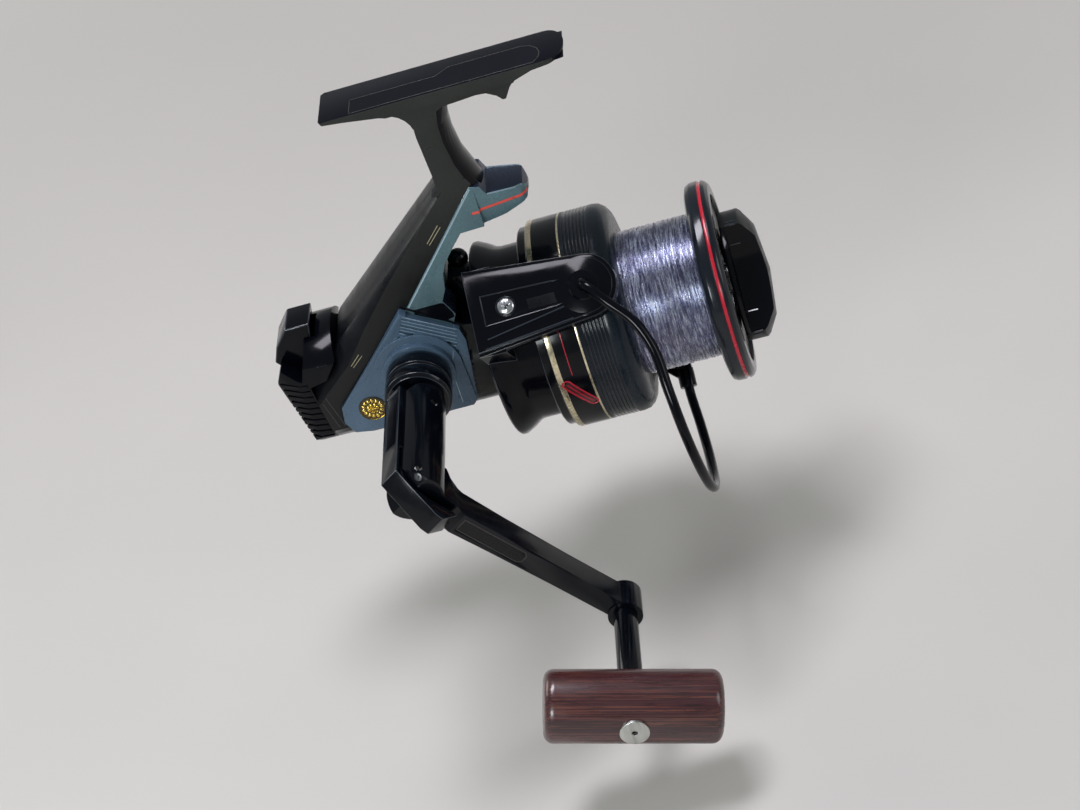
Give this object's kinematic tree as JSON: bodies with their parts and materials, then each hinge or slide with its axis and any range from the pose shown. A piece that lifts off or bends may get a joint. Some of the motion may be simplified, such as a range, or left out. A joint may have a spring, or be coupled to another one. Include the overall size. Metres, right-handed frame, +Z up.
{
  "type": "spinning fishing reel",
  "caption": "Front-drag spinning fishing reel with a skirted line spool, folding crank with wooden T knob, rotor with hinged bail and a foot for a rod.",
  "frame": {"origin": "centre of the foot's top face, which lies against the rod", "axes": "+X forward along the spool axis, +Z up out of the foot towards the rod, crank on the -Y side"},
  "size_m": [0.1574, 0.1619, 0.1713],
  "materials": {
    "body_paint": "gloss",
    "cover_paint": "gloss",
    "trim_paint": "satin",
    "cap_plastic": "gloss",
    "lever_plastic": "gloss",
    "rotor_plastic": "gloss",
    "spool_plastic": "gloss",
    "lip_metal": "gloss",
    "crank_metal": "gloss",
    "bail_metal": "gloss",
    "steel": "satin",
    "bright_metal": "polished",
    "brass": "satin",
    "zinc": "satin",
    "line": "glossy clear",
    "knob_paint": "satin",
    "wood": "gloss varnish"
  },
  "bodies": {
    "frame": {"reel_body": "body_paint", "side_cover": "cover_paint", "cover_screws": "steel", "stem_trim": "trim_paint", "rear_cap": "cap_plastic", "rear_cap_screws": "steel", "crank_bush_near": "brass", "crank_bush_far": "brass", "rotor_bearing": "steel", "bearing_retainer": "steel", "retainer_screws": "steel", "slider_guide": "steel", "oscillation_axle": "steel", "lever_pin": "steel", "pawl_pin": "steel", "trip_ramp": "cap_plastic"},
    "thumb_lever": {"antireverse_lever": "lever_plastic"},
    "pawl": {"antireverse_pawl": "steel"},
    "drive": {"drive_gear": "zinc", "oscillation_driver": "brass", "crank_shaft": "steel", "crank_collar": "crank_metal", "shaft_cap": "cap_plastic"},
    "crank": {"crank_arm": "crank_metal", "fold_pin": "steel", "release_pin": "steel", "knob_shaft": "crank_metal"},
    "release": {"release_lever": "crank_metal"},
    "knob": {"wooden_knob": "wood", "knob_cap": "bright_metal"},
    "rotor": {"pinion": "brass", "ratchet_wheel": "steel", "rotor": "rotor_plastic", "rotor_nut": "steel", "arm_cover": "rotor_plastic", "arm_cover_screw": "bright_metal", "bail_spring": "steel", "kick_lever": "steel", "bail_arm_screw": "bright_metal"},
    "bail": {"bail_wire": "bail_metal", "bail_arm": "bail_metal", "roller_screw": "bright_metal"},
    "roller": {"line_roller": "bright_metal"},
    "oscillation": {"oscillation_gear": "zinc"},
    "shaft": {"oscillation_slider": "zinc", "slider_screw": "steel", "main_shaft": "steel", "click_wheel": "cap_plastic"},
    "spool": {"spool": "spool_plastic", "spool_lip": "lip_metal", "line_core": "line", "line_winding": "line", "drag_washers": "steel", "drag_retainer": "steel"},
    "drag": {"drag_knob": "knob_paint", "drag_spring": "steel"}
  },
  "joints": [
    {"name": "crank_turn", "type": "hinge", "parent": "frame", "child": "drive", "pos_m": [-0.0355, 0, -0.0875], "axis": [0, 1, 0], "continuous": true},
    {"name": "rotor_spin", "type": "hinge", "parent": "frame", "child": "rotor", "pos_m": [0, 0, -0.095], "axis": [1, 0, 0], "continuous": true},
    {"name": "oscillation_turn", "type": "hinge", "parent": "frame", "child": "oscillation", "pos_m": [-0.05, 0, -0.096], "axis": [0, 1, 0], "continuous": true},
    {"name": "shaft_slide", "type": "slide", "parent": "frame", "child": "shaft", "axis": [1, 0, 0], "range_m": [-0.0045, 0.0085]},
    {"name": "spool_slip", "type": "hinge", "parent": "shaft", "child": "spool", "pos_m": [0.045, 0, -0.095], "axis": [1, 0, 0], "continuous": true},
    {"name": "drag_knob_turn", "type": "hinge", "parent": "shaft", "child": "drag", "pos_m": [0.068, 0, -0.095], "axis": [1, 0, 0], "range_deg": [-540, 540]},
    {"name": "crank_fold", "type": "hinge", "parent": "drive", "child": "crank", "pos_m": [-0.0355, -0.0423, -0.0875], "axis": [0.829, 0, 0.5592], "range_deg": [0, 58]},
    {"name": "fold_release", "type": "hinge", "parent": "crank", "child": "release", "pos_m": [-0.03796, -0.0764, -0.08385], "axis": [0.829, 0, 0.5592], "range_deg": [0, 5], "stiffness_Nm_per_rad": 0.4, "springref_deg": -5.73},
    {"name": "knob_spin", "type": "hinge", "parent": "crank", "child": "knob", "pos_m": [0.00924, -0.1147, -0.15382], "axis": [0, -1, 0], "continuous": true},
    {"name": "bail_flip", "type": "hinge", "parent": "rotor", "child": "bail", "pos_m": [0.0235, 0, -0.095], "axis": [0, -0.682, 0.7314], "range_deg": [0, 115]},
    {"name": "line_roller_spin", "type": "hinge", "parent": "bail", "child": "roller", "pos_m": [0.0379, 0.01641, -0.12961], "axis": [0, -0.682, 0.7314], "continuous": true},
    {"name": "thumb_lever_rock", "type": "hinge", "parent": "frame", "child": "thumb_lever", "pos_m": [-0.0745, 0, -0.0856], "axis": [0, -1, 0], "range_deg": [0, 12]},
    {"name": "pawl_lift", "type": "hinge", "parent": "frame", "child": "pawl", "pos_m": [-0.01, 0.0096, -0.0854], "axis": [-1, 0, 0], "range_deg": [0, 12]}
  ],
  "couplings": [
    {"joint": "rotor_spin", "follows": "crank_turn", "ratio": -4.6},
    {"joint": "oscillation_turn", "follows": "crank_turn", "ratio": -0.8},
    {"joint": "pawl_lift", "follows": "thumb_lever_rock", "ratio": 0.8}
  ]
}
